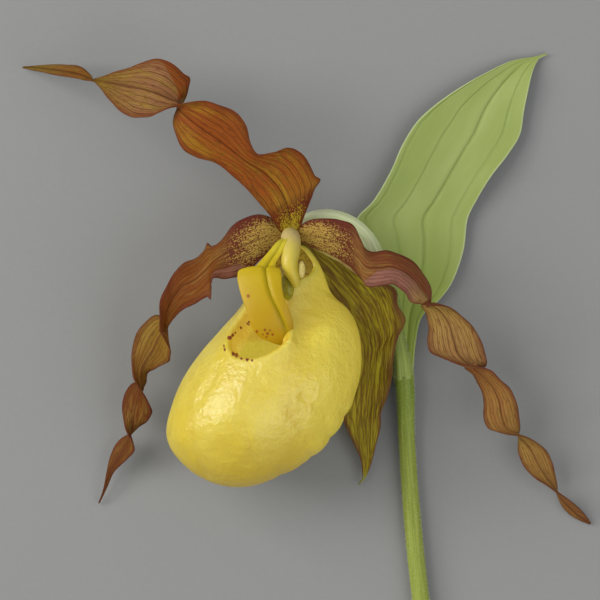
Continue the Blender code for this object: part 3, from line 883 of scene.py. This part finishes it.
def size_of(value):
    """The value without its sign."""
    return calc("ABSOLUTE", value)


def ease(value, low, high, start=0.0, end=1.0):
    """A soft step from start to end while value goes from low to high."""
    limits = {"From Min": low, "From Max": high, "To Min": start, "To Max": end}
    return add_node(value.id_data, "MapRange", "Result", {"Value": value, **limits},
                    interpolation_type="SMOOTHSTEP")


def join(x, y, z):
    """A vector of three values, of which x is a socket."""
    return add_node(x.id_data, "CombineXYZ", 0, {0: x, 1: y, 2: z})


def scaled(vector, x, y, z):
    """A vector scaled along each axis."""
    return add_node(vector.id_data, "Mapping", 0, {"Vector": vector, "Scale": (x, y, z)})


def noise(vector, scale, detail=3.0, rough=0.5):
    """Soft noise around one half."""
    settings = {"Scale": scale, "Detail": detail, "Roughness": rough}
    return add_node(vector.id_data, "TexNoise", "Fac", {"Vector": vector, **settings})


def mix(amount, first, second):
    """Blend of two colours."""
    return add_node(amount.id_data, "Mix", 2, {0: amount, 6: first, 7: second}, data_type="RGBA")


def paint(colour, over, mask, most):
    """A colour with another laid over it by a mask, up to the given share."""
    return mix(times(mask, most), colour, over)


def ramp(value, stops):
    """Colour along a list of stops: place, red, green, blue."""
    colour = add_node(value.id_data, "ValToRGB", "Color", {"Fac": value})
    elements = colour.node.color_ramp.elements
    while len(elements) < len(stops):
        elements.new(0.5)
    for element, stop in zip(elements, stops):
        element.position = stop[0]
    for element, stop in zip(elements, stops):
        element.color = tone(*stop[1:])
    return colour


def bump(height, distance, strength):
    """Surface relief, in metres."""
    inputs = {"Strength": strength, "Distance": distance, "Height": height}
    return add_node(height.id_data, "Bump", 0, inputs)


class Recipe:
    """A new material, the marks it reads and the shader that it ends in."""

    def __init__(self, name):
        self.material = bpy.data.materials.new(name)
        self.material.use_nodes = True
        self.tree = self.material.node_tree
        self.shader = self.tree.nodes["Principled BSDF"]

    def mark(self, name):
        """A mark of the mesh, as a number."""
        return add_node(self.tree, "Attribute", "Fac", {}, attribute_name=name)

    def spot(self):
        """The place on the object, in metres."""
        return add_node(self.tree, "TexCoord", "Object", {})

    def finish(self, colour, roughness, normal, specular, soft=0.0, tint=None, depth=0.001):
        """Connect the results to the shader. soft is how much light goes under the skin."""
        results = {"Base Color": colour, "Roughness": roughness, "Specular IOR Level": specular}
        if soft:
            results["Subsurface Weight"] = soft
            results["Subsurface Radius"] = tint
            results["Subsurface Scale"] = depth
        if normal is not None:
            results["Normal"] = normal
        for name, value in results.items():
            feed(self.shader.inputs[name], value)
        return self.material


def vein_lines(share, along, count, wobble, thin):
    """Lines that run from the base to the tip: one on each line, nought between."""
    place = join(times(share, 1.5), times(along, 0.12), count)
    shift = times(calc("SUBTRACT", noise(place, 2.0, 2.0), 0.5), wobble)
    phase = plus(times(share, count), shift)
    saw = size_of(calc("SUBTRACT", calc("FRACT", phase), 0.5))
    return ease(saw, 0.5 - thin, 0.5)


def base_dots(along, share, reach, end):
    """Dots of a blade's base that close up towards its margins and its end."""
    place = join(times(reach, 2.0), times(along, 1.3), 3.0)
    dots = noise(place, 2.1, 2.0, 0.6)
    away = ease(along, end * 0.25, end * 1.1, -0.03, 0.2)
    rim = ease(size_of(share), 0.4, 1.0, 0.0, 0.16)
    return ease(plus(dots, plus(away, rim)), 0.5, 0.6)


def tepal_material(name, length, front_stops, back_stops, vein, edge, ground, speckle, base_end):
    """Petal or sepal: streaked along its veins, dark at its margins, speckled at its base."""
    recipe = Recipe(name)
    along = recipe.mark("along")
    share = recipe.mark("share")
    rib = recipe.mark("rib")
    reach = recipe.mark("reach")
    front = recipe.mark("front")
    part = calc("DIVIDE", along, length)
    colour = mix(front, ramp(part, back_stops), ramp(part, front_stops))
    # Yellow ground shows between the veins in streaks.
    flow = join(reach, times(along, 0.16), times(front, 7.0))
    cloud = noise(flow, 0.5, 3.0, 0.6)
    grain = noise(flow, 3.0, 4.0, 0.65)
    streaks = ease(plus(cloud, times(grain, 0.8)), 0.86, 1.06)
    colour = paint(colour, ground, streaks, 0.34)
    # Dark dots on the same ground cover the front of the base.
    dots = base_dots(along, share, reach, base_end)
    base = ease(along, base_end * 0.7, base_end * 1.15, 1.0, 0.0)
    colour = paint(colour, mix(dots, ground, speckle), base, front)
    # Veins are weaker at the base.
    plain = ease(along, 0.0, base_end, 0.25, 1.0)
    lines = vein_lines(rib, along, 5.0, 0.7, 0.22)
    fine = vein_lines(rib, along, 13.0, 1.8, 0.3)
    midrib = ease(size_of(reach), 0.08, 0.4, 0.5, 0.0)
    colour = paint(colour, vein, ease(grain, 0.5, 0.66, 0.0, 0.55), plain)
    colour = paint(colour, vein, times(lines, plain), 0.42)
    colour = paint(colour, vein, times(fine, plain), 0.34)
    colour = paint(colour, vein, midrib, plain)
    ragged = plus(size_of(share), times(grain, 0.3))
    margin = ease(ragged, 0.82, 1.18, 0.0, 0.7)
    colour = paint(colour, edge, margin, calc("MAXIMUM", front, plain))
    relief = plus(times(lines, -0.4), times(fine, -0.2))
    relief = plus(relief, times(grain, 0.5))
    normal = bump(relief, 0.00025, 0.7)
    rough = ease(grain, 0.3, 0.7, 0.5, 0.66)
    return recipe.finish(colour, rough, normal, 0.1, 0.15, (1.0, 0.35, 0.15))


def dorsal_material():
    """Warm brown, with a yellow green base at the front."""
    front = [(0.0, 160, 160, 40), (0.07, 150, 106, 26), (0.16, 144, 76, 20), (0.5, 138, 70, 22),
             (0.8, 128, 78, 28), (1.0, 134, 108, 48)]
    back = [(0.0, 150, 120, 70), (0.4, 140, 86, 52), (0.58, 140, 98, 62), (0.75, 128, 98, 34),
            (0.85, 120, 68, 38), (1.0, 146, 114, 56)]
    return tepal_material("dorsal_tissue", 80.0, front, back, vein=(76, 32, 12),
                          edge=(100, 46, 20), ground=(168, 146, 34),
                          speckle=(104, 40, 20), base_end=8.0)


def petal_material(name, length, front, back):
    """Either side petal, with its own colours along the front and the back."""
    return tepal_material(name, length, front, back, vein=(84, 38, 22),
                          edge=(94, 42, 30), ground=(174, 144, 66),
                          speckle=(96, 38, 30), base_end=14.0)


def left_petal_material():
    front = [(0.0, 180, 160, 70), (0.2, 122, 68, 14), (0.45, 108, 54, 10),
             (0.7, 102, 56, 10), (1.0, 100, 58, 18)]
    back = [(0.0, 150, 108, 86), (0.2, 138, 88, 68), (0.3, 130, 76, 42),
            (0.48, 134, 104, 28), (0.7, 112, 66, 24), (1.0, 108, 66, 26)]
    return petal_material("left_petal_tissue", 74.0, front, back)


def right_petal_material():
    front = [(0.0, 184, 160, 76), (0.2, 128, 72, 40), (0.3, 120, 62, 36),
             (0.55, 152, 96, 50), (0.8, 152, 112, 56), (1.0, 136, 92, 48)]
    back = [(0.0, 184, 176, 96), (0.13, 176, 162, 92), (0.18, 150, 104, 88),
            (0.28, 146, 98, 84), (0.38, 174, 142, 72), (0.6, 156, 110, 72),
            (0.78, 168, 132, 66), (1.0, 136, 92, 48)]
    return petal_material("right_petal_tissue", 88.0, front, back)


def synsepal_material():
    """Yellow green with brown stripes, a brown margin and a pale tip."""
    recipe = Recipe("synsepal_tissue")
    along = recipe.mark("along")
    reach = recipe.mark("reach")
    cloud = noise(join(reach, times(along, 0.15), 0.0), 0.6, 4.0, 0.6)
    grain = noise(join(reach, times(along, 0.06), 2.0), 2.5, 4.0, 0.65)
    lines = vein_lines(recipe.mark("rib"), along, 4.0, 1.6, 0.3)
    margin = ease(size_of(recipe.mark("share")), 0.72, 0.95)
    colour = mix(ease(cloud, 0.35, 0.65), (138, 120, 8), (170, 154, 28))
    colour = paint(colour, (98, 60, 10), ease(grain, 0.45, 0.6), 0.8)
    colour = paint(colour, (90, 52, 14), lines, 0.45)
    colour = paint(colour, (96, 50, 30), margin, 0.75)
    colour = mix(ease(along, 55.2, 57.7), colour, (150, 150, 80))
    relief = plus(times(lines, -0.4), times(grain, 0.6))
    normal = bump(relief, 0.0003, 0.6)
    return recipe.finish(colour, 0.6, normal, 0.2, 0.1, (1.0, 0.5, 0.2))


def bract_material():
    """Dull green leaf with a few deep veins, a thin pale margin and a base painted lighter to lift the
    shade cast on it.
    """
    recipe = Recipe("bract_leaf")
    along = recipe.mark("along")
    rib = recipe.mark("rib")
    flow = join(recipe.mark("reach"), times(along, 0.25), 0.0)
    cloud = noise(flow, 0.12, 3.0, 0.55)
    grain = noise(recipe.spot(), 2600.0, 3.0, 0.6)
    main = vein_lines(rib, along, 1.9, 0.1, 0.1)
    tiny = vein_lines(rib, along, 24.0, 1.2, 0.4)
    margin = ease(size_of(recipe.mark("share")), 0.955, 1.0)
    base = ease(along, 6.0, 40.0, 1.0, 0.0)
    # Painted light: the base of the bract, where it wraps the stem, is painted a lighter green, to
    # lift the shade that the flower casts on it.
    sheath_light = ease(along, 10.0, 30.0, 1.0, 0.0)
    colour = mix(ease(cloud, 0.3, 0.7), (142, 156, 80), (156, 168, 98))
    colour = paint(colour, (132, 150, 62), base, 0.8)
    colour = mix(sheath_light, colour, (176, 194, 90))
    colour = paint(colour, (118, 138, 56), main, 0.26)
    colour = paint(colour, (122, 142, 62), tiny, 0.1)
    colour = paint(colour, (186, 200, 150), margin, 0.7)
    relief = plus(times(main, -0.8), times(grain, 0.12))
    normal = bump(relief, 0.0003, 0.6)
    return recipe.finish(colour, 0.62, normal, 0.3, 0.1, (0.6, 1.0, 0.2))


def pouch_lining(recipe, spot, fine):
    """Colour of the inner skin: pale, freckled in the claw, and deep yellow at the back wall under the
    staminode, partly its own tone and partly painted shade.
    """
    pale = mix(ease(fine, 0.4, 0.7), (224, 216, 150), (214, 202, 120))
    # Partly painted shade: the back wall under the staminode is painted deep yellow.
    lining = paint(pale, (200, 156, 8), recipe.mark("back_wall_shade"), 0.85)
    freckles = ease(noise(spot, 1300.0, 2.0, 0.6), 0.48, 0.62)
    throat = mix(freckles, (156, 134, 36), (112, 70, 22))
    return mix(recipe.mark("claw"), lining, throat)


def pouch_material():
    """Waxy wrinkled yellow skin, red spots at the mouth and a pale lining, with painted shade at the
    rim, the back wall and the far end, painted light on the right side and painted light given off
    inside.
    """
    recipe = Recipe("pouch_skin")
    spot = recipe.spot()
    inside = recipe.mark("inside")
    broad = noise(scaled(spot, 90.0, 60.0, 60.0), 1.0, 3.0, 0.5)
    folds = noise(scaled(spot, 190.0, 130.0, 160.0), 1.0, 4.0, 0.6)
    fine = noise(spot, 1800.0, 3.0, 0.6)
    colour = mix(ease(broad, 0.35, 0.65), (206, 182, 48), (214, 194, 84))
    colour = mix(ease(folds, 0.55, 0.75, 0.0, 0.35), colour, (188, 156, 26))
    colour = mix(ease(fine, 0.62, 0.75, 0.0, 0.18), colour, (176, 134, 36))
    # Painted shade: the far end of the slipper, away from the flower, is painted a deeper yellow.
    colour = paint(colour, (184, 162, 16), recipe.mark("toe_shade"), 0.75)
    # Painted light: the right side of the slipper is painted a paler yellow.
    colour = paint(colour, (230, 206, 74), recipe.mark("flank_light"), 0.85)
    # Painted shade: the rolled rim and its flap inside the mouth take a deeper yellow.
    rim_shade = mix(ease(inside, 0.1, 0.5), colour, (204, 166, 20))
    colour = paint(colour, rim_shade, ease(inside, 0.0, 0.3), 0.8)
    lining = pouch_lining(recipe, spot, fine)
    colour = mix(ease(inside, 0.75, 1.0), colour, lining)
    # Noise makes the outlines of the red spots ragged.
    ragged = noise(scaled(spot, 2100.0, 1300.0, 1300.0), 1.0, 2.0, 0.6)
    spots = plus(recipe.mark("spots"), times(ragged, 1.6))
    spots = ease(spots, 1.2, 1.4)
    colour = mix(spots, colour, (116, 36, 14))
    creases = noise(scaled(spot, 260.0, 620.0, 500.0), 1.0, 3.0, 0.6)
    relief = plus(folds, times(creases, 0.3))
    relief = plus(relief, times(fine, 0.06))
    normal = bump(relief, 0.0016, 0.6)
    # Painted light: the inside of the slipper gives off light by emission, standing in for light that
    # shines in through its thin wall.
    painted_glow = times(ease(inside, 0.2, 1.0), calc("SUBTRACT", 1.0, spots))
    painted_glow = times(painted_glow, ease(recipe.mark("claw"), 0.0, 1.0, 0.3, 0.06))
    feed(recipe.shader.inputs["Emission Color"], (204, 188, 84))
    feed(recipe.shader.inputs["Emission Strength"], painted_glow)
    rough = ease(broad, 0.3, 0.7, 0.35, 0.45)
    return recipe.finish(colour, rough, normal, 0.8, 0.8, (1.0, 0.8, 0.3), 0.004)


def staminode_material():
    """Deep yellow with a green groove and a few red spots."""
    recipe = Recipe("staminode_skin")
    fine = noise(recipe.spot(), 1500.0, 3.0, 0.6)
    colour = ramp(calc("DIVIDE", recipe.mark("along"), 20.0), [
        (0.0, 196, 186, 72), (0.2, 196, 180, 44), (0.4, 192, 168, 24),
        (0.7, 184, 154, 8), (1.0, 178, 142, 6)])
    groove = ease(size_of(recipe.mark("reach")), 0.1, 1.1, 1.0, 0.0)
    colour = paint(colour, (150, 144, 16), groove, 0.45)
    red = ease(plus(recipe.mark("spots"), times(fine, 0.3)), 0.5, 0.75)
    colour = paint(colour, (140, 56, 10), red, 0.8)
    normal = bump(times(fine, 0.5), 0.0002, 0.5)
    return recipe.finish(colour, 0.45, normal, 0.25, 0.25, (1.0, 0.8, 0.2))


def column_material():
    recipe = Recipe("column_skin")
    fine = noise(recipe.spot(), 1500.0, 3.0, 0.6)
    colour = ramp(calc("DIVIDE", recipe.mark("along"), 14.0), [
        (0.0, 186, 176, 96), (0.3, 200, 178, 118), (0.5, 200, 182, 80),
        (0.8, 196, 174, 40), (1.0, 192, 172, 50)])
    colour = mix(ease(fine, 0.5, 0.75, 0.0, 0.3), colour, (196, 160, 96))
    normal = bump(fine, 0.00015, 0.5)
    return recipe.finish(colour, 0.42, normal, 0.45, 0.25, (1.0, 0.7, 0.3))


def bead_material(name, light, dark):
    recipe = Recipe(name)
    fine = noise(recipe.spot(), 2200.0, 3.0, 0.6)
    colour = mix(ease(fine, 0.4, 0.65), light, dark)
    normal = bump(fine, 0.00015, 0.5)
    return recipe.finish(colour, 0.45, normal, 0.4, 0.15, (1.0, 0.7, 0.3))


def stalk_material(name, low, high, ribs, start, end):
    """Ribbed green stalk that goes from one pair of tones to another from start to end."""
    recipe = Recipe(name)
    along = recipe.mark("along")
    turn = recipe.mark("turn")
    part = ease(along, start, end)
    light = mix(part, low[0], high[0])
    dark = mix(part, low[1], high[1])
    flow = join(times(turn, 2.2), times(along, 0.05), 0.0)
    streak = noise(flow, 2.0, 4.0, 0.6)
    grain = noise(recipe.spot(), 2400.0, 3.0, 0.6)
    rib = size_of(calc("SINE", times(turn, ribs)))
    colour = mix(ease(streak, 0.35, 0.65), dark, light)
    colour = paint(colour, dark, rib, 0.2)
    colour = mix(ease(grain, 0.6, 0.72, 0.0, 0.35), colour, (196, 204, 160))
    relief = plus(times(rib, 0.3), times(grain, 0.3))
    normal = bump(relief, 0.0003, 0.6)
    return recipe.finish(colour, 0.55, normal, 0.35, 0.1, (0.6, 1.0, 0.2))


def hair_material():
    recipe = Recipe("pale_hairs")
    fine = noise(recipe.spot(), 900.0)
    colour = mix(fine, (206, 214, 176), (232, 236, 214))
    return recipe.finish(colour, 0.5, None, 0.3)


def floor_material():
    recipe = Recipe("floor_paper")
    fine = noise(recipe.spot(), 900.0, 4.0, 0.6)
    colour = mix(fine, (137, 137, 136), (141, 141, 139))
    normal = bump(fine, 0.00004, 0.3)
    return recipe.finish(colour, 0.9, normal, 0.1)


# The studio


def add_camera():
    data = bpy.data.cameras.new("camera")
    data.sensor_width = SENSOR
    data.lens = SENSOR * CAMERA_DISTANCE / PICTURE_WIDTH
    data.clip_start = 0.05
    data.clip_end = 20.0
    camera = bpy.data.objects.new("camera", data)
    camera.location = (PLACE[0] * MM, PLACE[1] * MM, (FOCUS_HEIGHT + CAMERA_DISTANCE) * MM)
    bpy.context.collection.objects.link(camera)
    bpy.context.scene.camera = camera


def add_light(name, place, size, power, colour, aim=(0.0, 0.01, 0.01)):
    """A soft square light at a place in metres, turned to a point."""
    data = bpy.data.lights.new(name, "AREA")
    data.shape = "SQUARE"
    data.size = size
    data.energy = power
    data.color = colour
    light = bpy.data.objects.new(name, data)
    light.location = place
    way = Vector(aim) - Vector(place)
    light.rotation_mode = "QUATERNION"
    light.rotation_quaternion = way.to_track_quat("-Z", "Y")
    bpy.context.collection.objects.link(light)


def add_sky():
    world = bpy.data.worlds.new("studio")
    world.use_nodes = True
    sky = world.node_tree.nodes["Background"]
    sky.inputs["Color"].default_value = (0.95, 0.97, 1.0, 1.0)
    sky.inputs["Strength"].default_value = 0.46
    bpy.context.scene.world = world
    bpy.context.scene.view_settings.view_transform = "Standard"


def add_floor():
    edge = FLOOR_HALF_WIDTH_METRES
    corners = [(-edge, -edge, 0), (edge, -edge, 0), (edge, edge, 0), (-edge, edge, 0)]
    mesh = bpy.data.meshes.new("floor")
    mesh.from_pydata(corners, [], [(0, 1, 2, 3)])
    mesh.materials.append(floor_material())
    floor = bpy.data.objects.new("floor", mesh)
    bpy.context.collection.objects.link(floor)


def add_studio():
    """A key light from the upper left, a fill from the lower right and a low sheen light."""
    add_light("key", (-0.58, 0.26, 0.64), 0.55, 4.4, (1.0, 0.985, 0.96))
    add_light("fill", (0.6, -0.3, 0.8), 0.8, 3.8, (0.97, 0.985, 1.0))
    add_light("sheen", (-0.8, 0.14, 0.4), 0.3, 2.4, (1.0, 1.0, 0.98), aim=(0.0, 0.01, 0.015))
    add_sky()
    add_floor()


# The flower


def add_flower():
    """The flower, from the dorsal sepal to the parts in its middle."""
    add_blade("dorsal_sepal", DORSAL_EDGES, dorsal_material(), 520, 41, 0.42, belly=0.12,
              waves=DORSAL_WAVES, teeth=DORSAL_TEETH, calm=50, folds=DORSAL_FOLDS)
    add_blade("synsepal", SYNSEPAL_EDGES, synsepal_material(), 260, 49, 0.5, belly=-0.08,
              waves=SYNSEPAL_WAVES, groove=(0.0, 0.0, 0.0), calm=30)
    add_blade("petal_left", LEFT_PETAL_EDGES, left_petal_material(), 520, 37, 0.4, belly=0.16,
              waves=LEFT_PETAL_WAVES, teeth=LEFT_PETAL_TEETH, groove=(0.0, 0.0, 0.2),
              folds=LEFT_PETAL_FOLDS)
    add_blade("petal_right", RIGHT_PETAL_EDGES, right_petal_material(), 600, 37, 0.4,
              belly=0.16, waves=RIGHT_PETAL_WAVES, groove=(0.0, 0.0, 0.2),
              folds=RIGHT_PETAL_FOLDS)
    add_pouch("labellum", pouch_material())
    add_tube("column", COLUMN_STATIONS, 60, 40, column_material())
    add_blade("staminode", STAMINODE_EDGES, staminode_material(), 140, 61, 0.8, belly=0.1,
              groove=(0.0, 0.7, 0.6), spots=STAMINODE_SPOTS)
    for node, shape in (("anther_left", ANTHER_LEFT), ("anther_right", ANTHER_RIGHT)):
        skin = bead_material(node + "_skin", (208, 192, 112), (188, 166, 82))
        add_bead(node, shape, skin, groove=0.3)
    # Partly painted shade: the stigma's olive green is darker than its own colour, for the shade it
    # sits in under the staminode.
    add_bead("stigma", STIGMA, bead_material("stigma_skin", (160, 150, 14), (132, 122, 8)))


def add_greens():
    """The bract, the stem and the ovary, with their hairs."""
    add_blade("bract", BRACT_EDGES, bract_material(), 420, 71, 0.5, belly=-0.12,
              waves=BRACT_WAVES, groove=(-0.3, -0.1, 0.35))
    # Pairs of a light and a dark tone.
    # Painted light: the ovary's lower pair is its green painted lighter, to lift the shade that the
    # petals and synsepal cast on it.
    lit_green = ((160, 174, 88), (132, 148, 60))
    fresh = ((150, 160, 64), (126, 138, 44))
    pale = ((234, 238, 198), (206, 214, 156))
    deep = ((136, 152, 52), (104, 124, 30))
    stem_skin = stalk_material("stem_skin", fresh, deep, 5.0, 66.0, 84.0)
    ovary_skin = stalk_material("ovary_skin", lit_green, pale, 3.0, 18.0, 34.0)
    add_tube("stem", STEM_STATIONS, 220, 40, stem_skin, flat_start=True)
    add_tube("ovary", OVARY_STATIONS, 200, 48, ovary_skin, ribs=6, rib_height=0.04)
    hairs = hair_material()
    stalk_hairs("stem", STEM_STATIONS, 5200, 0.38, 3, hairs)
    stalk_hairs("ovary", OVARY_STATIONS, 3600, 0.4, 5, hairs)


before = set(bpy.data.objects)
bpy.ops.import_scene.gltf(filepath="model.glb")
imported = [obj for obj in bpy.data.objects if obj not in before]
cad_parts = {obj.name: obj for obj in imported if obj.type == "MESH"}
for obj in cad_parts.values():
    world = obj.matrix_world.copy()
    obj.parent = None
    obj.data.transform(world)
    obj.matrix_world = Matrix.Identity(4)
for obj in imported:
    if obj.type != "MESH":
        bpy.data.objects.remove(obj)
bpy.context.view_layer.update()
add_camera()
add_studio()
add_flower()
add_greens()
